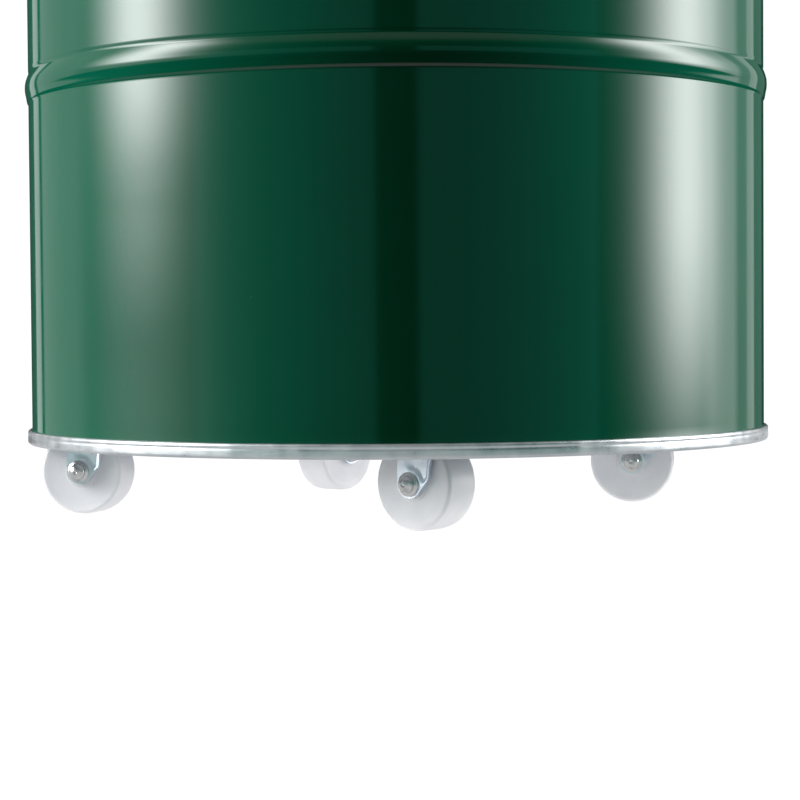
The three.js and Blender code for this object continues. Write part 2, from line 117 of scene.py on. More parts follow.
def sheetOutline(path, thickness):
    # The closed outline of a sheet whose middle follows the path.
    left, right = [], []
    for i, point in enumerate(path):
        along = heading(path, i)
        side = Vector((-along.y, along.x)) * thickness / 2
        left.append(tuple(Vector(point) + side))
        right.append(tuple(Vector(point) - side))
    return left + right[::-1]


def addTurned(bm, outline, segments, place=None):
    # An outline of (radius, height) turned round Z: a closed ring, or one that starts and ends on the axis.
    rings = []
    for radius, height in outline:
        if abs(radius) < tiny:
            rings.append([bm.verts.new((0, 0, height))])
            continue
        turns = [2 * math.pi * k / segments for k in range(segments)]
        rings.append([bm.verts.new((radius * math.cos(a), radius * math.sin(a), height)) for a in turns])
    closed = len(rings[0]) > 1 and len(rings[-1]) > 1
    pairs = zip(rings, rings[1:] + rings[:1]) if closed else zip(rings, rings[1:])
    for one, other in pairs:
        for k in range(segments):
            after = (k + 1) % segments
            corners = [(one, k), (one, after), (other, after), (other, k)]
            corners = list(dict.fromkeys(ring[i % len(ring)] for ring, i in corners))
            if len(corners) > 2:
                bm.faces.new(corners)
    if place:
        bmesh.ops.transform(bm, matrix=place, verts=[vert for ring in rings for vert in ring])


def bridge(bm, one, other, closed=False):
    # Quads between two rows of as many vertices.
    for k in range(len(one) if closed else len(one) - 1):
        after = (k + 1) % len(one)
        bm.faces.new([one[k], one[after], other[after], other[k]])


def addSwept(bm, path, section, side):
    # A section of (out, across) points carried along a path that lies in the plane square to side.
    rings = []
    for i, point in enumerate(path):
        out = heading(path, i).cross(side)
        rings.append([bm.verts.new(point + out * x + side * y) for x, y in section])
    for one, other in zip(rings, rings[1:]):
        bridge(bm, one, other, True)
    bm.faces.new(rings[0])
    bm.faces.new(rings[-1])


def addGrid(bm, rows, closed=False):
    # Rows of points as a sheet of quads.
    made = [[bm.verts.new(point) for point in row] for row in rows]
    for one, other in zip(made, made[1:]):
        bridge(bm, one, other, closed)
    return made


def joinEdges(bm, one, other):
    # The narrow faces that close the gap between two grids of one size, all the way round.
    sides = [([row[i] for row in one], [row[i] for row in other]) for i in (0, -1)]
    for first, second in [(one[0], other[0]), (one[-1], other[-1]), *sides]:
        bridge(bm, first, second)


def roundedSection(width, height, corner, steps=3):
    x, y = width / 2 - corner, height / 2 - corner
    return [
        point
        for cx, cy, start in ((x, y, 0), (-x, y, 90), (-x, -y, 180), (x, -y, 270))
        for point in arc((cx, cy), corner, start, start + 90, steps)
    ]


def newObject(name, mesh):
    made = bpy.data.objects.new(name, mesh)
    scene.collection.objects.link(made)
    return made


def finishPiece(name, bm, material, place=None, crease=32):
    bmesh.ops.remove_doubles(bm, verts=bm.verts, dist=1e-7)
    bmesh.ops.recalc_face_normals(bm, faces=bm.faces)
    if bm.calc_volume(signed=True) < 0:
        bmesh.ops.reverse_faces(bm, faces=bm.faces)
    if place:
        bm.transform(place)
    mesh = bpy.data.meshes.new(name)
    bm.to_mesh(mesh)
    bm.free()
    mesh.shade_smooth()
    mesh.set_sharp_from_angle(angle=math.radians(crease))
    mesh.materials.append(material)
    return newObject(name, mesh)


def turnedPiece(name, outline, segments, material, place=None, crease=32):
    bm = bmesh.new()
    addTurned(bm, outline, segments)
    return finishPiece(name, bm, material, place, crease)


def stand(piece, body, slot, *replaced):
    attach(piece, body)
    if replaced:
        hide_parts(*replaced)
    return piece


# Small tools for node trees


def feed(tree, socket, value):
    if isinstance(value, bpy.types.NodeSocket):
        tree.links.new(value, socket)
    else:
        socket.default_value = value


def addNode(tree, kind, fed=None, **settings):
    # A node whose inputs are fed, by name or number, with values or other nodes' outputs.
    node = tree.nodes.new(kind)
    for key, value in settings.items():
        setattr(node, key, value)
    for key, value in (fed or {}).items():
        feed(tree, node.inputs[key], value)
    return node


def maths(tree, operation, *values):
    return addNode(tree, "ShaderNodeMath", dict(enumerate(values)), operation=operation).outputs[0]


def times(tree, *values):
    return maths(tree, "MULTIPLY", *values)


def stepUp(tree, value, low, high, bottom=0.0, top=1.0):
    # A soft step from the bottom value to the top one, between low and high.
    fed = dict(enumerate((value, low, high, bottom, top)))
    return addNode(tree, "ShaderNodeMapRange", fed, interpolation_type="SMOOTHSTEP").outputs[0]


def noise(tree, place, scale, detail=2.0, roughness=0.5, stretch=(1, 1, 1)):
    mapping = addNode(tree, "ShaderNodeMapping", {"Scale": stretch, "Vector": place})
    fed = {"Vector": mapping.outputs[0], "Scale": scale, "Detail": detail, "Roughness": roughness}
    return addNode(tree, "ShaderNodeTexNoise", fed).outputs["Fac"]


# The mix node's colour sockets share their names with its number ones, so they are found by type.
def mixColours(tree, share, one, other):
    node = addNode(tree, "ShaderNodeMix", {0: share}, data_type="RGBA")
    colours = [socket for socket in node.inputs if socket.type == "RGBA"]
    for socket, colour in zip(colours, (one, other)):
        feed(tree, socket, (*colour, 1) if isinstance(colour, tuple) else colour)
    return next(socket for socket in node.outputs if socket.type == "RGBA")


def newFinish(name, **fixed):
    # A material, its tree, its shader and the object's own coordinates.
    material = bpy.data.materials.new(name)
    material.use_nodes = True
    tree = material.node_tree
    shader = tree.nodes["Principled BSDF"]
    for key, value in fixed.items():
        shader.inputs[key.replace("_", " ")].default_value = value
    place = addNode(tree, "ShaderNodeTexCoord").outputs["Object"]
    return material, tree, shader, place


def addBump(tree, shader, height, strength, distance):
    bump = addNode(tree, "ShaderNodeBump", {"Strength": strength, "Distance": distance, "Height": height})
    feed(tree, shader.inputs["Normal"], bump.outputs[0])


# Finishes

mostNoise = (0.3, 0.7)  # nearly all of a noise's values lie between these
paintValues = {
    "colours": ((0.0004, 0.045, 0.017), (0.0003, 0.040, 0.015)),
    "dust": (0.10, 0.16, 0.13),
    "clouds": (9, 3),  # noise: cells in a metre, detail, roughness and stretch
    "streaks": (6, 4, 0.6, (1, 1, 9)),
    "peel": (420, 1),
    "bump": (0.05, 0.02 * mm),  # strength and depth
    "gloss": (0.045, 0.085),  # roughness, from and to
    "specks": 170,  # cells in a metre
    "speckShare": 0.035,
    "speckSize": 0.05,  # largest, as a share of its cell
    "speckDullness": 0.4,  # added to the roughness
}


def makePaint():
    material, tree, shader, place = newFinish("greenPaint", IOR=1.5)
    cloud = noise(tree, place, *paintValues["clouds"])
    colour = mixColours(tree, stepUp(tree, cloud, *mostNoise), *paintValues["colours"])
    cells = addNode(tree, "ShaderNodeTexVoronoi", {"Scale": paintValues["specks"], "Vector": place})
    chance = addNode(tree, "ShaderNodeSeparateColor", {0: cells.outputs["Color"]}).outputs
    size = times(tree, chance[1], paintValues["speckSize"])
    near = maths(tree, "LESS_THAN", cells.outputs["Distance"], size)
    speck = times(tree, near, maths(tree, "LESS_THAN", chance[0], paintValues["speckShare"]))
    feed(tree, shader.inputs["Base Color"], mixColours(tree, speck, colour, paintValues["dust"]))
    sheen = stepUp(tree, noise(tree, place, *paintValues["streaks"]), *mostNoise, *paintValues["gloss"])
    dull = times(tree, speck, paintValues["speckDullness"])
    feed(tree, shader.inputs["Roughness"], maths(tree, "ADD", sheen, dull))
    addBump(tree, shader, noise(tree, place, *paintValues["peel"]), *paintValues["bump"])
    return material


galvanisedValues = {
    "colours": ((0.50, 0.54, 0.57), (0.66, 0.69, 0.71)),
    "rolled": (22, 5, 0.62, (1, 1, 7)),
    "rolledShare": 0.6,
    "spots": (130, 2),
    "spotShare": 0.45,
    "bright": (0.38, 0.68),  # where in the mottle the second colour starts and is full
    "rough": (0.35, 0.7),  # the same for the second roughness
    "roughness": (0.24, 0.42),
    "bump": (0.08, 0.1 * mm),
}


def makeGalvanised():
    values = galvanisedValues
    material, tree, shader, place = newFinish("galvanisedSheet", Metallic=0.8)
    rolled = times(tree, noise(tree, place, *values["rolled"]), values["rolledShare"])
    spots = noise(tree, place, *values["spots"])
    mottle = maths(tree, "MULTIPLY_ADD", spots, values["spotShare"], rolled)
    colour = mixColours(tree, stepUp(tree, mottle, *values["bright"]), *values["colours"])
    feed(tree, shader.inputs["Base Color"], colour)
    feed(tree, shader.inputs["Roughness"], stepUp(tree, mottle, *values["rough"], *values["roughness"]))
    addBump(tree, shader, mottle, *values["bump"])
    return material


zincValues = {
    "colours": ((0.66, 0.75, 0.85), (0.80, 0.86, 0.92)),
    "cloud": (90, 4, 0.55),
    "cloudShare": (0.35, 0.65),  # where in the cloud the second colour starts and is full
    "grain": (150, 1),
    "sheen": "grain",  # what the roughness follows
    "roughness": (0.26, 0.38),
    "bump": (0.05, 0.03 * mm),
}
steelValues = {
    "colours": ((0.62, 0.63, 0.63), (0.42, 0.43, 0.43)),
    "cloud": (240, 4, 0.6),
    "cloudShare": (0.45, 0.75),
    "grain": (1500, 2),
    "sheen": "cloud",
    "roughness": (0.18, 0.3),
    "bump": (0.08, 0.03 * mm),
}
nylonValues = {
    "colours": ((0.90, 0.89, 0.92), (0.85, 0.84, 0.88)),
    "cloud": (60, 3),
    "cloudShare": (0.35, 0.65),
    "grain": (600, 3),
    "sheen": "cloud",
    "roughness": (0.3, 0.42),
    "bump": (0.06, 0.05 * mm),
    "subsurface": (0.35, (1.0, 0.95, 0.9), 3 * mm),  # weight, radius and scale
}


def makeClouded(name, values, **fixed):
    # Two colours in soft clouds under a fine grain.
    material, tree, shader, place = newFinish(name, **fixed)
    layers = {key: noise(tree, place, *values[key]) for key in ("cloud", "grain")}
    share = stepUp(tree, layers["cloud"], *values["cloudShare"])
    feed(tree, shader.inputs["Base Color"], mixColours(tree, share, *values["colours"]))
    sheen = stepUp(tree, layers[values["sheen"]], *mostNoise, *values["roughness"])
    feed(tree, shader.inputs["Roughness"], sheen)
    addBump(tree, shader, layers["grain"], *values["bump"])
    return material


paint = makePaint()
galvanised = makeGalvanised()
zinc = makeClouded("zincPlate", zincValues, Metallic=0.7)
steel = makeClouded("brightSteel", steelValues, Metallic=1.0)
weight, radius, scale = nylonValues["subsurface"]
depth = {"Subsurface_Weight": weight, "Subsurface_Radius": radius, "Subsurface_Scale": scale}
nylon = makeClouded("whiteNylon", nylonValues, IOR=1.53, **depth)
print("finishes made")


# The body's wall: a plain rolled shell, whose beads are swaged by a tree of nodes

wall = {
    "beadFields": 3,  # plain fields that the beads divide it into
    "beadHeight": 16.6 * mm,
    "beadReach": 1.55 * mm,
    "grooveDepth": 0.15 * mm,
    "segments": 288,
    "rowStep": 0.5 * mm,  # along the wall at the beads
    "rowShare": 1.16,  # of the bead's height that has such rows
    "wireRadius": 2.5 * mm,  # of the rolled rim, to the middle of the sheet
    "footRise": 10 * mm,  # of the lowest plain part, above the seam
    "curlEnd": -150,  # where the rolled rim's edge ends, in degrees
    "hookIn": 2.2 * sheet,  # how far inside the seam the wall's turned-out foot ends
    "hookRise": 2.5 * sheet,
}
bodyHeight = rimTop - seamBottom
beadSpacing = bodyHeight / wall["beadFields"]
# The bead from below, as share of its height and how far out: 0 is the groove's floor and 1 the crest.
plainShare = wall["grooveDepth"] / (wall["grooveDepth"] + wall["beadReach"])
beadCurve = [
    (0.0, plainShare),
    (0.04, plainShare),
    (0.12, 0.43),
    (0.26, 0.675),
    (0.42, 0.955),
    (0.50, 1.0),
    (0.58, 0.965),
    (0.66, 0.83),
    (0.74, 0.60),
    (0.80, 0.375),
    (0.86, 0.13),
    (0.90, 0.0),
    (1.0, plainShare),
]


def newTree(name, sizes):
    # A tree with a geometry, each named size and a finish as its inputs.
    tree = bpy.data.node_groups.new(name, "GeometryNodeTree")
    face = tree.interface
    face.new_socket("Geometry", in_out="INPUT", socket_type="NodeSocketGeometry")
    face.new_socket("Geometry", in_out="OUTPUT", socket_type="NodeSocketGeometry")
    for key, value in sizes.items():
        kind = "NodeSocketInt" if isinstance(value, int) else "NodeSocketFloat"
        face.new_socket(key, in_out="INPUT", socket_type=kind).default_value = value
    face.new_socket("Finish", in_out="INPUT", socket_type="NodeSocketMaterial")
    return tree, addNode(tree, "NodeGroupInput").outputs


def closeTree(tree, geometry, finish):
    real = addNode(tree, "GeometryNodeRealizeInstances", {0: geometry})
    painted = addNode(tree, "GeometryNodeSetMaterial", {"Geometry": real.outputs[0], "Material": finish})
    addNode(tree, "NodeGroupOutput", {0: painted.outputs[0]})


def floatCurve(tree, points, value):
    node = addNode(tree, "ShaderNodeFloatCurve", {"Value": value})
    curve = node.mapping.curves[0]
    for x, y in points[1:-1]:
        curve.points.new(x, y)
    curve.points[0].location = points[0]
    curve.points[-1].location = points[-1]
    for point in curve.points:
        point.handle_type = "AUTO_CLAMPED"
    node.mapping.update()
    return node.outputs[0]


def swageTree():
    sizes = {
        "Foot": seamBottom,
        "Bead Spacing": beadSpacing,
        "Fields": float(wall["beadFields"]),
        "Bead Height": wall["beadHeight"],
        "Bead Reach": wall["beadReach"],
        "Groove Depth": wall["grooveDepth"],
    }
    tree, given = newTree("swageBeads", sizes)
    position = addNode(tree, "GeometryNodeInputPosition").outputs[0]
    x, y, z = addNode(tree, "ShaderNodeSeparateXYZ", {0: position}).outputs
    # Which bead is nearest, and how far up it the point is
    climb = maths(tree, "DIVIDE", maths(tree, "SUBTRACT", z, given["Foot"]), given["Bead Spacing"])
    number = maths(tree, "ROUND", climb)
    up = times(tree, maths(tree, "SUBTRACT", climb, number), given["Bead Spacing"])
    share = maths(tree, "ADD", maths(tree, "DIVIDE", up, given["Bead Height"]), 0.5)
    shape = floatCurve(tree, beadCurve, maths(tree, "MINIMUM", 1, maths(tree, "MAXIMUM", 0, share)))
    depth = maths(tree, "ADD", given["Bead Reach"], given["Groove Depth"])
    out = maths(tree, "SUBTRACT", times(tree, shape, depth), given["Groove Depth"])
    # There is no bead at the foot, at the rim or between two beads
    inside = maths(tree, "LESS_THAN", maths(tree, "ABSOLUTE", maths(tree, "SUBTRACT", share, 0.5)), 0.5)
    notFoot = maths(tree, "GREATER_THAN", number, 0.5)
    notRim = maths(tree, "LESS_THAN", number, maths(tree, "SUBTRACT", given["Fields"], 0.5))
    pressed = times(tree, times(tree, notFoot, notRim), inside)
    flat = addNode(tree, "ShaderNodeCombineXYZ", {0: x, 1: y}).outputs[0]
    outward = addNode(tree, "ShaderNodeVectorMath", {0: flat}, operation="NORMALIZE").outputs[0]
    reach = {0: outward, "Scale": times(tree, out, pressed)}
    push = addNode(tree, "ShaderNodeVectorMath", reach, operation="SCALE").outputs[0]
    moved = addNode(tree, "GeometryNodeSetPosition", {"Geometry": given["Geometry"], "Offset": push})
    closeTree(tree, moved.outputs[0], given["Finish"])
    return tree


def shaped(piece, tree, **values):
    # The piece put through a tree whose inputs are set by their identifiers, and made a plain mesh.
    modifier = piece.modifiers.new(tree.name, "NODES")
    modifier.node_group = tree
    sockets = [item for item in tree.interface.items_tree if item.item_type == "SOCKET"]
    known = {item.name: item.identifier for item in sockets if item.in_out == "INPUT"}
    for name, value in values.items():
        modifier[known[name]] = value
    made = piece.evaluated_get(bpy.context.evaluated_depsgraph_get())
    mesh = bpy.data.meshes.new_from_object(made)
    piece.modifiers.clear()
    piece.data = mesh
    mesh.name = piece.name
    return piece


def beadRows(low, high):
    # Heights up the wall, close together where a bead is pressed.
    count = round(wall["rowShare"] * wall["beadHeight"] / wall["rowStep"])
    heights = [low]
    for number in range(1, wall["beadFields"]):
        middle = seamBottom + beadSpacing * number
        heights += [middle + (i - count / 2) * wall["rowStep"] for i in range(count + 1)]
    return heights + [high]


def bodyWall(tree):
    middle = wallRadius - sheet / 2
    hookHeight = seamBottom + wall["hookRise"]
    plainTop = seamBottom + wall["footRise"]
    curlCentre = (middle + wall["wireRadius"], rimTop - wall["wireRadius"] - sheet / 2)
    hookEnd = seamRadius - wall["hookIn"]
    path = softened([(hookEnd, hookHeight, 0), (middle, hookHeight, 0.8 * mm), (middle, plainTop, 0)])[:-1]
    path += [(middle, height) for height in beadRows(plainTop, curlCentre[1] - 4 * mm)]
    path += arc(curlCentre, wall["wireRadius"], 180, wall["curlEnd"], 26)
    plain = turnedPiece("bodyWall", sheetOutline(path, sheet), wall["segments"], paint)
    return shaped(plain, tree, Finish=paint)


lockSeam = {
    "width": 8 * mm,
    "reach": 0.9 * mm,
    "inset": 12 * mm,  # its ends stop this far from the bottom seam and the rolled rim
    "round": 0.35 * mm,
    "fold": [(1.2 * mm, 0), (1.35 * mm, 0.3 * mm), (1.6 * mm, 0)],  # pressed line: across and deep
}


def bodySeam(tree):
    # The folded seam at the back, lying on the wall and pressed into its beads with it.
    low = seamBottom + seamHeight + lockSeam["inset"]
    high = rimTop - lockSeam["inset"]
    depth = lockSeam["reach"] + 0.5 * sheet
    section = roundedSection(lockSeam["width"], depth, lockSeam["round"])
    corner = len(section) // 4
    section[corner:corner] = [(-across, depth / 2 - deep) for across, deep in lockSeam["fold"]]
    rows = []
    for height in beadRows(low, high):
        ring = []
        for across, out in section:
            radius = wallRadius + lockSeam["reach"] - depth / 2 + out
            angle = math.pi / 2 - across / wallRadius
            ring.append((radius * math.cos(angle), radius * math.sin(angle), height))
        rows.append(ring)
    bm = bmesh.new()
    made = addGrid(bm, rows, closed=True)
    bm.faces.new(made[0])
    bm.faces.new(made[-1])
    return shaped(finishPiece("bodySeam", bm, paint, crease=60), tree, Finish=paint)


swage = swageTree()
stand(bodyWall(swage), "bin", "green_paint", "body_shell")
stand(bodySeam(swage), "bin", "green_paint")
print("body made")


# The bottom pan, rolled round the body's foot

pan = {
    "panelRise": 19 * mm,  # bottom of the seam to the panel's underside
    "panelBend": 2.4 * mm,
    "dishRadius": 84 * mm,
    "dishRise": 3 * mm,
    "dishBend": 3 * mm,
    "wallGap": 1.7 * sheet,  # wall's outside to the pan's inner flange
    "seamBend": 1.1 * mm,
    "lipGap": 0.06 * mm,
    "lip": 1.2 * mm,
    "groove": 0.22 * mm,  # depth of the line pressed round the seam
    "grooveShare": 0.68,  # of the seam's height that lies below it
    "segments": 288,
}


def bottomPan():
    half = sheet / 2
    panel = seamBottom + pan["panelRise"] + half
    inner = wallRadius - pan["wallGap"] - half
    outer = seamRadius - half
    low, high = seamBottom + half, seamBottom + seamHeight - half
    groove = low + pan["grooveShare"] * (high - low)
    lip = wallRadius + pan["lipGap"] + half
    dish, rise, bend = pan["dishRadius"], pan["dishRise"], pan["dishBend"]
    outline = [
        (0, panel + rise, 0),
        (dish, panel + rise, bend),
        (dish + 2 * rise, panel, bend),
        (inner, panel, pan["panelBend"]),
        (inner, low, pan["seamBend"]),
        (outer, low, pan["seamBend"]),
        (outer, groove - 0.9 * mm, 0.3 * mm),
        (outer - pan["groove"], groove, 0.4 * mm),
        (outer, groove + 0.7 * mm, 0.3 * mm),
        (outer - 0.1 * mm, high - 0.1 * mm, 0.7 * mm),
        (lip, high, 0.4 * mm),
        (lip, high - pan["lip"], 0),
    ]
    return turnedPiece("bottomPan", sheetOutline(softened(outline, 7), sheet), pan["segments"], galvanised)


stand(bottomPan(), "bin", "galvanised_sheet", "bottom_pan")
print("pan made")


# The lid: a turned shell with a hem, a ring that rests on the rim and a crown

lid = {
    "skirt": 14 * mm,
    "hem": 2 * mm,
    "hemHeight": 2.4 * mm,
    "hemEnd": 430,  # where the rolled hem's edge ends, in degrees
    "shoulder": 14 * mm,
    "stepRun": 4 * mm,
    "step": 5 * mm,
    "topRadius": 72 * mm,
    "crown": 0.8 * mm,
    "segments": 256,
}
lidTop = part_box("lid_shell")[1].z
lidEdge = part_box("lid_shell")[1].y  # outside of the hem


def lidShell():
    half = sheet / 2
    skirt = lidEdge - lid["hem"] - half
    hemRadius = lid["hemHeight"] / 2 - half
    hemCentre = (skirt + hemRadius, lidBottom - lid["skirt"] + lid["hemHeight"] / 2)
    shoulder = skirt - half - lid["shoulder"]
    top = lidTop - half
    path = softened(
        [
            (0, top, 0),
            (lid["topRadius"] * 0.6, top - 0.25 * lid["crown"], 12 * mm),
            (lid["topRadius"], top - lid["crown"], 16 * mm),
            (shoulder - lid["stepRun"], lidBottom + lid["step"] + half, 2.5 * mm),
            (shoulder, lidBottom + half, 2 * mm),
            (skirt, lidBottom + half, 1.6 * mm),
            (skirt, hemCentre[1] + 2 * mm, 0),
        ],
        9,
    )
    path += arc(hemCentre, hemRadius, 180, lid["hemEnd"], 16)
    return turnedPiece("lidShell", sheetOutline(path, sheet), lid["segments"], paint)


grip = {
    "span": 124 * mm,
    "width": 22 * mm,
    "thickness": 2 * mm,
    "rise": 32 * mm,
    "foot": 16 * mm,
    "lean": 12 * mm,
    "bend": 8 * mm,
    "edge": 0.5 * mm,
}


def lidGrip():
    # A steel strap bent into a handle, with its feet flat on the lid.
    half = grip["thickness"] / 2
    base = lidTop + half
    foot, heel = grip["span"] / 2 - 0.2 * mm, grip["span"] / 2 - grip["foot"]
    top = heel - grip["lean"]
    high = lidTop + grip["rise"] - half
    outline = [
        (-foot, base, 0),
        (-heel, base, 3 * mm),
        (-top, high, grip["bend"]),
        (top, high, grip["bend"]),
        (heel, base, 3 * mm),
        (foot, base, 0),
    ]
    path = [Vector((x, 0, z)) for x, z in softened(outline, 8)]
    dense = [path[0].lerp(path[1], t / 6) for t in range(6)]
    dense += path[1:-1]
    dense += [path[-2].lerp(path[-1], t / 6) for t in range(1, 7)]
    section = roundedSection(grip["thickness"], grip["width"], grip["edge"])
    bm = bmesh.new()
    addSwept(bm, dense, section, Vector((0, 1, 0)))
    # The feet's ends are cut round, but for a narrow flat
    radius, flat = grip["width"] / 2, 0.6 * mm
    for vert in bm.verts:
        reach = abs(vert.co.x) - (foot - radius)
        if reach > 0:
            vert.co.y *= math.sqrt(radius ** 2 - min(reach, radius - flat) ** 2) / radius
    return finishPiece("lidGrip", bm, zinc)


stand(lidShell(), "lid", "green_paint", "lid_shell")
stand(lidGrip(), "lid", "zinc_plate", "lid_grip")
print("lid made")


# Side handles: a rolled bracket on the wall and a drop handle of round rod

handle = {
    "rod": 3 * mm,
    "width": 104 * mm,
    "drop": 50 * mm,
    "corner": 22 * mm,
    "sharpCorner": 7.3 * mm,
    "bracketWidth": 58 * mm,
    "bracketHeight": 24 * mm,
    "thickness": 1.5 * mm,
    "wallGap": 0.3 * mm,
    "hug": (0.5 * mm, 8 * mm),  # heights above the rod where the plate starts to follow the wall, and does
    "barrel": 4.5 * mm,  # outside radius
    "rolled": 310,  # degrees that the bracket goes round the rod
    "corners": 5 * mm,
    "plateSteps": 16,  # of equal height, down to the rod
    "plateRows": 14,  # of those steps, the flat ones
    "columns": 20,
}


def sideHandle(name, turn):
    half, low = handle["width"] / 2, -handle["drop"]
    outline = [
        (0.5 * mm, 0, 0),
        (half, 0, handle["sharpCorner"]),
        (half, low, handle["corner"]),
        (-half, low, handle["corner"]),
        (-half, 0, handle["sharpCorner"]),
        (-0.5 * mm, 0, 0),
    ]
    path = [Vector((0, y, z)) for y, z in softened(outline, 14)]
    section = arc((0, 0), handle["rod"], 0, 345, 23)  # 24 points, as the last would be the first again
    bm = bmesh.new()
    addSwept(bm, path, section, Vector((1, 0, 0)))
    place = turn @ Matrix.Translation((handleOut, 0, handleHeight))
    return finishPiece(name, bm, zinc, place, 40)


def handleBracket(name, turn):
    # Rows run from the plate's top edge down the wall and round the rod. Each row crosses the plate.
    middle, columns = handle["thickness"] / 2, handle["columns"]
    flat = wallRadius + handle["wallGap"] + middle
    heights = [handle["bracketHeight"] * (1 - i / handle["plateSteps"]) for i in range(handle["plateRows"])]
    section = [(flat, height) for height in heights]
    section += arc((handleOut, 0), handle["barrel"] - middle, 180, 180 + handle["rolled"], 26)
    bm = bmesh.new()
    faces = []
    for offset in (-middle, middle):
        rows = []
        for i, (out, up) in enumerate(section):
            along = heading(section, i)
            x, z = out - along.y * offset, up + along.x * offset
            cut = max(0.0, up - (handle["bracketHeight"] - handle["corners"]))
            inset = handle["corners"] - math.sqrt(max(0.0, handle["corners"] ** 2 - cut ** 2))
            half = handle["bracketWidth"] / 2 - inset
            hug = smooth(up, *handle["hug"]) if i < handle["plateRows"] else 0
            row = []
            for k in range(columns + 1):
                y = half * (2 * k / columns - 1)
                sag = (wallRadius - math.sqrt(wallRadius ** 2 - y ** 2)) * hug
                row.append((x - sag, y, handleHeight + z))
            rows.append(row)
        faces.append(addGrid(bm, rows))
    joinEdges(bm, *faces)
    return finishPiece(name, bm, zinc, turn)


for side, angle in (("right", 0), ("left", 180)):
    turn = Matrix.Rotation(math.radians(angle), 4, "Z")
    title = side.capitalize()
    stand(handleBracket(f"handle{title}Bracket", turn), "bin", "zinc_plate", f"handle_{side}_bracket")
    stand(sideHandle(f"handle{title}Rod", turn), f"handle_{side}", "zinc_plate", f"handle_{side}_rod")
print("handles made")


# Casters. Each is made with its kingpin on Z and its wheel trailing along +X, then turned into place.

caster = {
    "width": 18 * mm,  # wheel
    "shoulder": 1.5 * mm,
    "dish": 0.06 * mm,  # how far its faces are sunk
    "crown": 0.25 * mm,
    "hubRadius": 7 * mm,
    "hubProud": 0.4 * mm,
    "bore": 4 * mm,
    "legGap": 1.1 * mm,
    "legThickness": 1.4 * mm,
    "boss": 6 * mm,
    "noseOut": 10.3 * mm,
    "noseUp": 2.6 * mm,
    "shoulderOut": 9 * mm,
    "webBottom": 42.2 * mm,
    "webThickness": 1.6 * mm,
    "webHole": 8 * mm,  # radius, round the kingpin
    "webFlat": 3 * mm,  # how far past the hole the web's edge stays square
    "cupRadius": 17 * mm,
    "cupWall": 1.4 * mm,
    "cupHeight": 3.4 * mm,
    "bend": 2.2 * mm,
    "pocket": 0.9 * mm,  # depth of the pressed pocket, and its edges below
    "pocketFromNose": (0.9 * mm, 1.7 * mm),
    "pocketFromAxle": (6.2 * mm, 7.4 * mm),
    "pocketFromOuter": (3 * mm, 9 * mm),
    "pocketFoot": (20 * mm, 23 * mm),
    "pocketHead": (27 * mm, 38 * mm),
    "segments": 64,
}


def wheelOutline():
    side, shoulder = caster["width"] / 2, caster["shoulder"]
    proud, sunk = side + caster["hubProud"], side - caster["dish"]
    edge = wheelRadius - shoulder
    half = softened(
        [
            (caster["bore"], proud, 0),
            (caster["hubRadius"], proud, 0.5 * mm),
            (caster["hubRadius"] + 0.5 * mm, sunk, 0.4 * mm),
            (edge - 2.2 * mm, sunk, 0.5 * mm),
            (edge - 1.2 * mm, side, 0.4 * mm),
            (edge, side, 0),
        ],
        4,
    )
    half += arc((edge - caster["crown"], side - shoulder), shoulder, 90, 3, 12)[1:]
    half += [(wheelRadius, (side - shoulder) * (1 - i / 4)) for i in (1, 2, 3)]
    return half + [(wheelRadius, 0)] + [(radius, -out) for radius, out in reversed(half)]


def legEdges(height, outer):
    # The leg's edges at a height: the one towards the kingpin and the straight outer one.
    boss = caster["boss"]
    trail = outer - boss
    noseX, noseZ = trail - caster["noseOut"], wheelRadius + caster["noseUp"]
    bossHalf = math.sqrt(max(0, boss ** 2 - (height - wheelRadius) ** 2))
    right = trail + bossHalf if height < wheelRadius else outer
    # A straight edge leaves the boss along its tangent and ends at the nose
    noseAngle = math.pi - math.atan2(caster["noseUp"], caster["noseOut"])
    tangent = noseAngle + math.acos(boss / math.hypot(caster["noseOut"], caster["noseUp"]))
    touchX, touchZ = trail + boss * math.cos(tangent), wheelRadius + boss * math.sin(tangent)
    if height <= touchZ:
        return trail - bossHalf, right
    if height <= noseZ:
        return touchX + (noseX - touchX) * (height - touchZ) / (noseZ - touchZ), right
    # A curve that rises from the nose and sweeps out to the shoulder
    control = (noseZ + 3 * caster["webBottom"]) / 4
    a, b, c = caster["webBottom"] - 2 * control + noseZ, 2 * (control - noseZ), noseZ - height
    t = -c / b if abs(a) < tiny else (-b + math.sqrt(max(0, b * b - 4 * a * c))) / (2 * a)
    t = min(1, max(0, t))
    return (1 - t * t) * noseX - t * t * caster["shoulderOut"], right


def legPocket(x, height, left, outer):
    # The stamped pocket between the axle's boss and the raised edge, which runs out upwards.
    fromAxle = math.hypot(x - outer + caster["boss"], height - wheelRadius)
    depth = smooth(x - left, *caster["pocketFromNose"]) * smooth(fromAxle, *caster["pocketFromAxle"])
    depth *= smooth(outer - x, *caster["pocketFromOuter"]) * (1 - smooth(height, *caster["pocketHead"]))
    return depth * smooth(height, *caster["pocketFoot"]) * caster["pocket"]


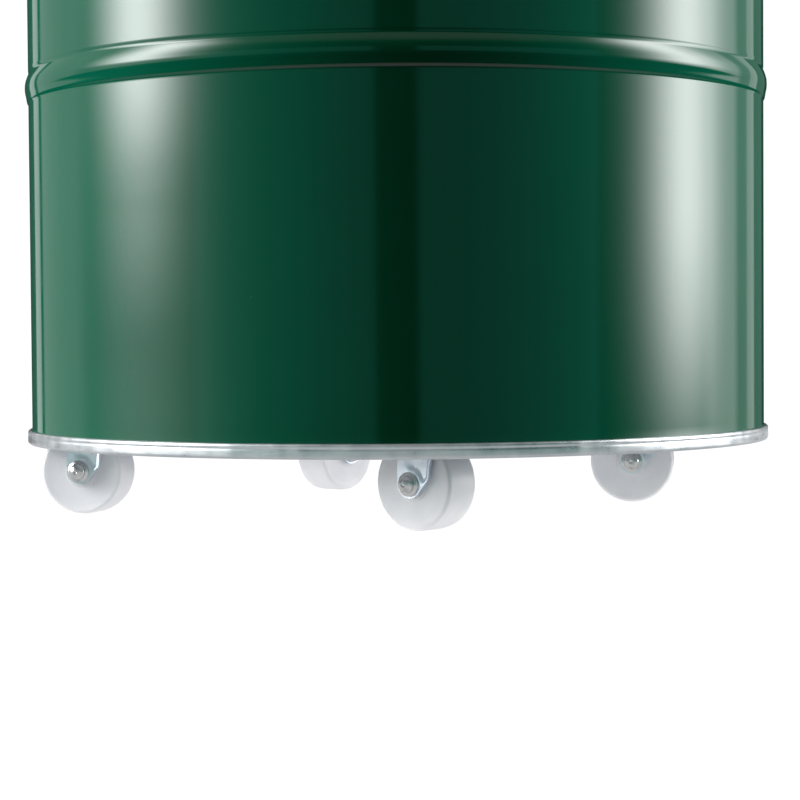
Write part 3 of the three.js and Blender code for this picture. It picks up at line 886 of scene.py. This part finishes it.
def forkSheet(bm, trail):
    # Both legs and the web between them as one folded sheet, as its outer face and then its inner face.
    outer = trail + caster["boss"]
    inside = caster["width"] / 2 + caster["hubProud"] + caster["legGap"]
    low = wheelRadius - caster["boss"]
    top = caster["webBottom"] + caster["webThickness"]
    hole = caster["webHole"]
    columns, legRows, bendRows, webRows = 26, 34, 6, 6
    faces = []
    for depth in (0, caster["legThickness"]):
        side = inside + caster["legThickness"] - depth
        roof = top - depth
        radius = caster["bend"] - depth + 0.4 * mm
        rise = roof - radius
        # Each row is (out, up, height that its edges are taken at), from the leg's foot to the web's middle
        profile = []
        for i in range(legRows + 1):
            height = low + (rise - low) * (1 - math.cos(math.pi / 2 * i / legRows))
            profile.append((side, height, height))
        for y, z in arc((side - radius, rise), radius, 0, 90, bendRows)[1:]:
            profile.append((y, z, top))
        for i in range(1, webRows + 1):
            profile.append(((side - radius) * (1 - i / webRows), roof, top + i))
        rows = []
        for y, z, key in profile:
            left, right = legEdges(min(key, caster["webBottom"]), outer)
            if y < hole + caster["webFlat"] and key > top:
                left = max(left, math.sqrt(max(0, hole ** 2 - min(y, hole) ** 2)))
            row = []
            for k in range(columns + 1):
                x = left + (right - left) * k / columns
                sunk = legPocket(x, z, left, outer) if key < rise else 0
                row.append((x, y - sunk, z))
            rows.append(row)
        mirrored = [[(x, -y, z) for x, y, z in row] for row in rows[:-1]]
        faces.append(addGrid(bm, rows + mirrored[::-1]))
    joinEdges(bm, *faces)


def fork(name, trail, place):
    bm = bmesh.new()
    forkSheet(bm, trail)
    floor = caster["webBottom"] + 0.15 * mm
    high = caster["webBottom"] + caster["webThickness"]
    middle, radius = (floor + high) / 2, caster["cupRadius"] - caster["cupWall"] / 2
    cup = [(3.4 * mm, middle, 0), (radius, middle, 2 * mm), (radius, high + caster["cupHeight"], 0)]
    addTurned(bm, sheetOutline(softened(cup, 8), caster["cupWall"]), caster["segments"])
    return finishPiece(name, bm, zinc, place)


axle = {
    # Radius and distance out from the fork, in mm
    "tail": [(0, 2.1), (2.6, 2.0), (3.6, 1.5), (4.2, 0.6), (4.3, 0), (2.5, 0)],
    "flange": [(2.5, 0), (5, 0), (5.2, 0.25), (5.15, 0.8), (4.8, 1.05), (4, 1.15), (3.75, 1.3), (3.68, 2.1)],
    "domeAngles": (15, 30, 42, 52, 60, 67),
    "domeHeight": 2.1 * mm,
    "dimple": [(1.15, 4.12), (0.8, 3.8), (0.35, 3.55), (0, 3.5)],
}


def axleOutline():
    seat = caster["width"] / 2 + caster["hubProud"] + caster["legGap"] + caster["legThickness"]
    outline = [(radius * mm, -seat - out * mm) for radius, out in axle["tail"]]
    outline += [(radius * mm, seat + out * mm) for radius, out in axle["flange"]]
    domeRadius, domeFoot = outline[-1]
    for angle in axle["domeAngles"]:
        a = math.radians(angle)
        outline.append((domeRadius * math.cos(a), domeFoot + axle["domeHeight"] * math.sin(a)))
    return outline + [(radius * mm, seat + out * mm) for radius, out in axle["dimple"]]


def kingpinOutline():
    low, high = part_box("caster_right_kingpin")[0].z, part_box("caster_right_kingpin")[1].z
    headTop = caster["webBottom"] - 0.3 * mm
    head = [
        (0, low, 0),
        (2 * mm, low, 0.8 * mm),
        (5 * mm, low + 0.5 * mm, 1 * mm),
        (5.5 * mm, headTop - 0.6 * mm, 0.5 * mm),
        (5.4 * mm, headTop, 0.2 * mm),
        (3 * mm, headTop, 0),
    ]
    tail = [(3, 1.2), (4.9, 1.2), (4.9, 0.2), (4.7, 0), (0, 0)]  # radius, and how far down from the top
    return softened(head) + [(radius * mm, high - down * mm) for radius, down in tail]


topPlate = {
    "length": 46 * mm,
    "width": 38 * mm,
    "corner": 4 * mm,
    "thickness": 2 * mm,
    "raceInner": 8 * mm,
    "raceOuter": 15 * mm,
    "raceDrop": 2 * mm,
    "hole": 3.2 * mm,
    "recess": 5.2 * mm,  # radius of the recess for the kingpin's tail
}


def casterPlate(name, place):
    # A stamped plate whose race stands down round the kingpin, with a recess on top for its tail.
    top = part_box("caster_right_plate")[1].z
    low = top - topPlate["thickness"]
    bm = bmesh.new()
    section = roundedSection(topPlate["length"], topPlate["width"], topPlate["corner"], 6)
    angles = [math.atan2(y, x) for x, y in section]

    def edge(scale, z):
        return [(x * scale, y * scale, z) for x, y in section]

    def circle(radius, z):
        return [(radius * math.cos(a), radius * math.sin(a), z) for a in angles]

    race, inner, outer = topPlate["raceDrop"], topPlate["raceInner"], topPlate["raceOuter"]
    rows = [
        circle(topPlate["recess"], top),
        edge(0.985, top),
        edge(1, top - 0.3 * mm),
        edge(1, low + 0.3 * mm),
        edge(0.985, low),
        circle(outer + 0.8 * mm, low),
        circle(outer, low - 0.5 * mm),
        circle(outer - 0.6 * mm, low - race),
        circle(inner + 0.6 * mm, low - race),
        circle(inner, low - 0.5 * mm),
        circle(inner - 0.8 * mm, low),
        circle(topPlate["hole"], low),
        circle(topPlate["hole"], top - 1.6 * mm),
        circle(topPlate["recess"], top - 1.5 * mm),
    ]
    addGrid(bm, rows + rows[:1], closed=True)
    return finishPiece(name, bm, zinc, place)


def casterPlaces(name):
    # How far the wheel trails, and the places of what faces out, of the fork and of what turns on the axle.
    swivel = Vector(joints[f"swivel_{name}_turn"]["pos_m"])
    wheel = Vector(joints[f"wheel_{name}_roll"]["pos_m"])
    trailing = wheel - swivel
    trail = math.hypot(trailing.x, trailing.y)
    foot = Matrix.Translation((swivel.x, swivel.y, 0))
    outward = foot @ Matrix.Rotation(math.atan2(swivel.y, swivel.x), 4, "Z")
    trailed = foot @ Matrix.Rotation(math.atan2(trailing.y, trailing.x), 4, "Z")
    rolling = trailed @ Matrix.Translation((trail, 0, wheel.z)) @ Matrix.Rotation(math.radians(-90), 4, "X")
    return trail, outward, trailed, rolling


for name in casterNames:
    title = f"caster{name.capitalize()}"
    trail, outward, trailed, rolling = casterPlaces(name)
    steelPin = turnedPiece(f"{title}Kingpin", kingpinOutline(), 32, steel, outward)
    stand(steelPin, "bin", "bright_steel", f"caster_{name}_kingpin")
    stand(casterPlate(f"{title}Plate", outward), "bin", "zinc_plate", f"caster_{name}_plate")
    stand(fork(f"{title}Fork", trail, trailed), f"swivel_{name}", "zinc_plate", f"caster_{name}_fork")
    pin = turnedPiece(f"{title}Axle", axleOutline(), 40, steel, rolling, 30)
    stand(pin, f"swivel_{name}", "bright_steel", f"caster_{name}_axle")
    tyre = turnedPiece(f"{title}Wheel", wheelOutline(), 96, nylon, rolling, 40)
    stand(tyre, f"roller_{name}", "white_nylon", f"caster_{name}_wheel")
print("casters made")


# Balls in their cages, and rivets, each by a tree of nodes

# How many balls, and the radii of their circle, of a ball and of the cage's wire
balls = {"Ball Count": 6, "Ball Circle": 11 * mm, "Ball Radius": 2 * mm, "Cage Width": 0.5 * mm}


def onPoints(tree, points, *geometries, **fed):
    # The geometries as one instance on each of the points.
    joined = addNode(tree, "GeometryNodeJoinGeometry")
    for geometry in geometries:
        tree.links.new(geometry, joined.inputs[0])
    fed.update({"Points": points, "Instance": joined.outputs[0]})
    return addNode(tree, "GeometryNodeInstanceOnPoints", fed).outputs[0]


def ballTree():
    # Balls round a circle, held by a ring of wire, at each point that is given.
    tree, given = newTree("ballRing", balls)
    spots = {"Vertices": given["Ball Count"], "Radius": given["Ball Circle"]}
    circle = addNode(tree, "GeometryNodeMeshCircle", spots)
    ball = addNode(tree, "GeometryNodeMeshIcoSphere", {"Subdivisions": 4, "Radius": given["Ball Radius"]})
    loop, wire = (
        addNode(tree, "GeometryNodeCurvePrimitiveCircle", {"Resolution": count, "Radius": given[size]})
        for count, size in ((48, "Ball Circle"), (10, "Cage Width"))
    )
    cage = addNode(tree, "GeometryNodeCurveToMesh", {0: loop.outputs[0], 1: wire.outputs[0]})
    ring = onPoints(tree, circle.outputs[0], ball.outputs[0])
    placed = onPoints(tree, given["Geometry"], ring, cage.outputs[0])
    closeTree(tree, smoothShaded(tree, placed), given["Finish"])
    return tree


def smoothShaded(tree, geometry):
    real = addNode(tree, "GeometryNodeRealizeInstances", {0: geometry})
    return addNode(tree, "GeometryNodeSetShadeSmooth", {0: real.outputs[0]}).outputs[0]


rivets = {
    "Head Radius": 3.4 * mm,
    "Head Height": 1.6 * mm,
    "Shank Radius": 2 * mm,
    "Grip": 4.6 * mm,  # between head and tail, where a piece gives no other
    "Tail Radius": 3.2 * mm,
    "Tail Height": 1.2 * mm,
}


def rivetTree():
    # One rivet is a cylinder of many rows whose radius follows its height: a domed head, a shank and a tail.
    tree, given = newTree("rivets", rivets)
    length = maths(tree, "ADD", given["Head Height"], given["Grip"])
    length = maths(tree, "ADD", length, given["Tail Height"])
    bar = {"Vertices": 24, "Side Segments": 44, "Radius": 1.0, "Depth": length}
    bar = addNode(tree, "GeometryNodeMeshCylinder", bar)
    position = addNode(tree, "GeometryNodeInputPosition").outputs[0]
    x, y, up = addNode(tree, "ShaderNodeSeparateXYZ", {0: position}).outputs
    fromFoot = maths(tree, "ADD", up, times(tree, length, 0.5))
    z = maths(tree, "SUBTRACT", fromFoot, given["Head Height"])

    def dome(end, distance):
        share = maths(tree, "MINIMUM", 1, maths(tree, "DIVIDE", distance, given[f"{end} Height"]))
        left = maths(tree, "SUBTRACT", 1, times(tree, share, share))
        return times(tree, given[f"{end} Radius"], maths(tree, "SQRT", maths(tree, "MAXIMUM", left, 0)))

    isHead = maths(tree, "LESS_THAN", z, 0)
    isTail = maths(tree, "GREATER_THAN", z, given["Grip"])
    shank = maths(tree, "SUBTRACT", maths(tree, "SUBTRACT", 1, isHead), isTail)
    radius = times(tree, dome("Head", times(tree, z, -1)), isHead)
    tail = dome("Tail", maths(tree, "SUBTRACT", z, given["Grip"]))
    radius = maths(tree, "MULTIPLY_ADD", tail, isTail, radius)
    radius = maths(tree, "MULTIPLY_ADD", given["Shank Radius"], shank, radius)
    spun = {0: times(tree, x, radius), 1: times(tree, y, radius), 2: z}
    spun = addNode(tree, "ShaderNodeCombineXYZ", spun)
    formed = {"Geometry": bar.outputs[0], "Position": spun.outputs[0]}
    formed = addNode(tree, "GeometryNodeSetPosition", formed)
    closed = {"Geometry": formed.outputs[0], "Distance": 1e-5}
    closed = addNode(tree, "GeometryNodeMergeByDistance", closed)
    driven = addNode(tree, "GeometryNodeInputNamedAttribute", {"Name": "driven"}, data_type="FLOAT_VECTOR")
    aim = addNode(tree, "FunctionNodeAlignRotationToVector", {"Vector": driven.outputs[0]}, axis="Z")
    placed = onPoints(tree, given["Geometry"], closed.outputs[0], Rotation=aim.outputs[0])
    closeTree(tree, smoothShaded(tree, placed), given["Finish"])
    return tree


def pointPiece(name, places):
    # Points that each hold the direction from head to tail, from pairs of the two.
    mesh = bpy.data.meshes.new(name)
    mesh.from_pydata([tuple(point) for point, _ in places], [], [])
    driven = mesh.attributes.new("driven", "FLOAT_VECTOR", "POINT")
    for item, (_, direction) in zip(driven.data, places):
        item.vector = direction
    return newObject(name, mesh)


ringTree = ballTree()
for name in casterNames:
    middle = joints[f"balls_{name}_turn"]["pos_m"]
    piece = pointPiece(f"caster{name.capitalize()}Balls", [(middle, (0, 0, 1))])
    stand(shaped(piece, ringTree, Finish=steel), f"balls_{name}", "bright_steel", f"caster_{name}_ball_ring")

rivetMaker = rivetTree()


def middleOf(node):
    low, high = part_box(node)
    return (low + high) / 2


# Casters' rivets go up through plate and pan, the brackets' go in towards the axis and the lid's go down.
casterRivets = [f"caster_{name}_rivet_{k}" for name in casterNames for k in (1, 2, 3, 4)]
handleRivets = [f"handle_{side}_rivet_{k}" for side in ("right", "left") for k in (1, 2)]
lidRivets = ["lid_rivet_1", "lid_rivet_2"]


def rivetPiece(name, found, body, direction):
    places = []
    for node in found:
        along = direction(middleOf(node))
        length = lengthOf(node, along)
        places.append((middleOf(node) - along * (length / 2 - rivets["Head Height"]), along))
    gripLength = length - rivets["Head Height"] - rivets["Tail Height"]
    piece = shaped(pointPiece(name, places), rivetMaker, Finish=steel, Grip=gripLength)
    piece.data.set_sharp_from_angle(angle=math.radians(40))
    stand(piece, body, "bright_steel", *found)


def lengthOf(node, along):
    reach = [vert.co.dot(along) for vert in nodes[node].data.vertices]
    return max(reach) - min(reach)


def inward(point):
    return Vector((-point.x, -point.y, 0)).normalized()


rivetPiece("casterRivets", casterRivets, "bin", lambda point: Vector((0, 0, 1)))
rivetPiece("handleRivets", handleRivets, "bin", inward)
rivetPiece("lidRivets", lidRivets, "lid", lambda point: Vector((0, 0, -1)))
print("balls and rivets made")

# What stays as it is in the frame gets its finish
for node in ["rim_wire"] + [f"caster_{name}_sleeve" for name in casterNames]:
    nodes[node].data.materials.clear()
    nodes[node].data.materials.append(steel)


# Studio: a bright room with tall soft boxes to the left and right, over a white floor

studio = {
    "white": 1.05,
    "floorSize": 12.0,
    "domeRadius": 16.0,
    "bounce": 0.9,
    "bounceRadius": 0.17,
    "bounceDrop": 1 * mm,  # below the floor
    "shine": 0.7,
    "shineFade": (0.3, 0.78),  # radii
    "shineDrop": 2 * mm,
    "left": {"turn": -82, "width": 13.6, "light": 12.6, "lowShare": 0.2},
    "leftWide": {"turn": -82, "width": 22, "light": 1.3},
    "right": {"turn": 96, "width": 14.8, "light": 10.9},
    # Standing panels behind the object: from, to, the softness of each edge, and light
    "panels": [
        (-141, -110, 1, 6, 0.5),
        (-151.5, -144.2, 0.6, 0.6, 0.8),
        (-185, -152, 1, 1, 0.03),
        (108, 127, 4, 3, 1.1),
        (127, 136.5, 3, 1, 0.35),
        (136.5, 144.5, 0.8, 0.8, 0.75),
        (144.5, 158, 1.5, 1.5, 0.12),
    ],
    # Two dim panels in front, one each side of the camera: the same four
    "frontPanels": (6.3, 62, 1.6, 1.6),
    "frontTop": (9, 15),  # rises where they start to fade and are gone
    "front": 0.32,
    "frontTint": (0.17, 1.0, 0.78),
    # Rises where the panels, the left light (to its low share, and to all of it) and the right one start
    "horizon": (-5, -2.5),
    "leftHorizon": (-0.5, 3, 7),
    "rightHorizon": (-5.5, 3.4),
    # Rises where all of them end and where the ceiling takes over
    "wallTop": (38, 52),
    "ceiling": (30, 50),
    "above": 0.3,
    "below": 0.01,
    # Square lamps: turn, size, distance, height, power and colour
    "fill": (0, 1.4, 1.6, 0.15, 2.1, (1, 0.98, 1)),
    "leftGlow": (-95, 1.2, 1.5, 0.3, 110, (1, 1, 1.6)),
    "rightGlow": (100, 1.2, 1.5, 0.3, 95, (1, 1, 1.6)),
}


def bell(tree, turn, centre, width):
    away = maths(tree, "DIVIDE", maths(tree, "SUBTRACT", turn, centre), width)
    return maths(tree, "EXPONENT", times(tree, times(tree, away, away), -1))


def between(tree, value, low, high, lowSoft, highSoft):
    rising = stepUp(tree, value, low - lowSoft, low + lowSoft)
    return times(tree, rising, stepUp(tree, value, high - highSoft, high + highSoft, 1.0, 0.0))


def makeWorld():
    world = bpy.data.worlds.new("studio")
    scene.world = world
    world.use_nodes = True
    tree = world.node_tree
    toward = addNode(tree, "ShaderNodeTexCoord").outputs["Generated"]
    x, y, z = addNode(tree, "ShaderNodeSeparateXYZ", {0: toward}).outputs
    # Turn is 0 towards -Y and grows towards +X, and rise is up from the horizon, both in degrees.
    turn = maths(tree, "DEGREES", maths(tree, "ARCTAN2", x, times(tree, y, -1)))
    rise = maths(tree, "DEGREES", maths(tree, "ARCSINE", z))
    horizon = stepUp(tree, rise, *studio["horizon"])

    def lobe(side):
        values = studio[side]
        return times(tree, bell(tree, turn, values["turn"], values["width"]), values["light"])

    # The left light is brighter above the horizon, with a dim wide glow that reaches down to it
    low = studio["left"]["lowShare"]
    start, middle, end = studio["leftHorizon"]
    faint = stepUp(tree, rise, start, middle, 0.0, low)
    fade = maths(tree, "ADD", faint, stepUp(tree, rise, middle, end, 0.0, 1 - low))
    panels = [
        times(tree, lobe("left"), fade),
        times(tree, lobe("leftWide"), horizon),
        times(tree, lobe("right"), stepUp(tree, rise, *studio["rightHorizon"])),
    ]
    for *edges, light in studio["panels"]:
        panels.append(times(tree, times(tree, between(tree, turn, *edges), light), horizon))
    white = panels[0]
    for panel in panels[1:]:
        white = maths(tree, "ADD", white, panel)
    white = times(tree, white, stepUp(tree, rise, *studio["wallTop"], 1.0, 0.0))
    ceiling = times(tree, stepUp(tree, rise, *studio["ceiling"]), studio["above"])
    white = maths(tree, "ADD", maths(tree, "ADD", white, ceiling), studio["below"])
    front = times(tree, between(tree, maths(tree, "ABSOLUTE", turn), *studio["frontPanels"]), horizon)
    front = times(tree, front, stepUp(tree, rise, *studio["frontTop"], studio["front"], 0.0))
    tinted = [maths(tree, "MULTIPLY_ADD", front, share, white) for share in studio["frontTint"]]
    colour = addNode(tree, "ShaderNodeCombineXYZ", dict(enumerate(tinted))).outputs[0]
    feed(tree, tree.nodes["Background"].inputs["Color"], colour)


def glowing(name, strength):
    material = bpy.data.materials.new(name)
    material.use_nodes = True
    tree = material.node_tree
    tree.nodes.clear()
    light = addNode(tree, "ShaderNodeEmission", {"Strength": strength})
    addNode(tree, "ShaderNodeOutputMaterial", {"Surface": light.outputs[0]})
    return material, tree, light


def fadeOut(tree, light, strength, start, end):
    # The glow is full up to one radius and gone at the other.
    place = addNode(tree, "ShaderNodeTexCoord").outputs["Object"]
    reach = addNode(tree, "ShaderNodeVectorMath", {0: place}, operation="LENGTH").outputs["Value"]
    feed(tree, light.inputs["Strength"], stepUp(tree, reach, start, end, strength, 0.0))


def clearFromBelow(tree, light):
    # The floor hides nothing from a camera under it.
    below = addNode(tree, "ShaderNodeNewGeometry").outputs["Backfacing"]
    clear = addNode(tree, "ShaderNodeBsdfTransparent").outputs[0]
    mix = addNode(tree, "ShaderNodeMixShader", {0: below, 1: light.outputs[0], 2: clear})
    out = next(node for node in tree.nodes if node.type == "OUTPUT_MATERIAL")
    feed(tree, out.inputs["Surface"], mix.outputs[0])


def stagePiece(name, bm, material, *seen):
    # A glowing surface that only the named kinds of ray see.
    mesh = bpy.data.meshes.new(name)
    bm.to_mesh(mesh)
    bm.free()
    mesh.materials.append(material)
    made = newObject(name, mesh)
    for kind in ("camera", "diffuse", "glossy", "transmission", "volume_scatter", "shadow"):
        setattr(made, f"visible_{kind}", kind in seen)


def disc(radius, height):
    bm = bmesh.new()
    place = Matrix.Translation((0, 0, height))
    bmesh.ops.create_circle(bm, cap_ends=True, segments=96, radius=radius, matrix=place)
    return bm


def makeStage():
    # The camera sees a white floor and backdrop. The floor near the object lights it and is mirrored in it.
    floor, floorTree, floorLight = glowing("floor", studio["white"])
    clearFromBelow(floorTree, floorLight)
    stagePiece("floor", disc(studio["floorSize"] / 2, 0), floor, "camera", "shadow")
    bounce, _, _ = glowing("bounce", studio["bounce"])
    stagePiece("bounce", disc(studio["bounceRadius"], -studio["bounceDrop"]), bounce, "diffuse")
    shine, shineTree, shineLight = glowing("tableShine", studio["shine"])
    fadeOut(shineTree, shineLight, studio["shine"], *studio["shineFade"])
    stagePiece("tableShine", disc(studio["shineFade"][1], -studio["shineDrop"]), shine, "glossy")
    backdrop, _, _ = glowing("backdrop", studio["white"])
    bm = bmesh.new()
    bmesh.ops.create_icosphere(bm, subdivisions=4, radius=studio["domeRadius"])
    bmesh.ops.reverse_faces(bm, faces=bm.faces)
    stagePiece("backdrop", bm, backdrop, "camera")


def makeLamp(name, finishes, mirrored):
    # A square soft light that faces the object and lights only the pieces of the named finishes.
    turn, size, distance, height, power, colour = studio[name]
    data = bpy.data.lights.new(name, "AREA")
    data.size = size
    data.energy = power
    data.color = colour
    lamp = newObject(name, data)
    spot = Matrix.Translation((0, -distance, height)) @ Matrix.Rotation(math.pi / 2, 4, "X")
    lamp.matrix_world = Matrix.Rotation(math.radians(turn), 4, "Z") @ spot
    lamp.visible_camera = False
    lamp.visible_glossy = mirrored
    lit = bpy.data.collections.new(f"{name}Lit")
    for piece in scene.objects:
        if piece.type == "MESH" and piece.data.materials and piece.data.materials[0] in finishes:
            lit.objects.link(piece)
    lamp.light_linking.receiver_collection = lit


view = {"distance": 1.058, "height": 0.087, "lens": 100, "pitch": 1.95, "turn": -0.05, "roll": -0.41}


def makeCamera():
    data = bpy.data.cameras.new("camera")
    data.lens = view["lens"]
    data.sensor_width = 36
    data.clip_start, data.clip_end = 0.01, 100
    camera = newObject("camera", data)
    camera.matrix_world = (
        Matrix.Translation((0, -view["distance"], view["height"]))
        @ Matrix.Rotation(math.radians(view["turn"]), 4, "Z")
        @ Matrix.Rotation(math.radians(90 - view["pitch"]), 4, "X")
        @ Matrix.Rotation(math.radians(view["roll"]), 4, "Z")
    )
    scene.camera = camera


makeWorld()
makeStage()
makeLamp("fill", (galvanised, zinc, steel, nylon), True)
makeLamp("leftGlow", (paint,), False)
makeLamp("rightGlow", (paint,), False)
makeCamera()
scene.view_settings.view_transform = "Standard"
print("studio made")
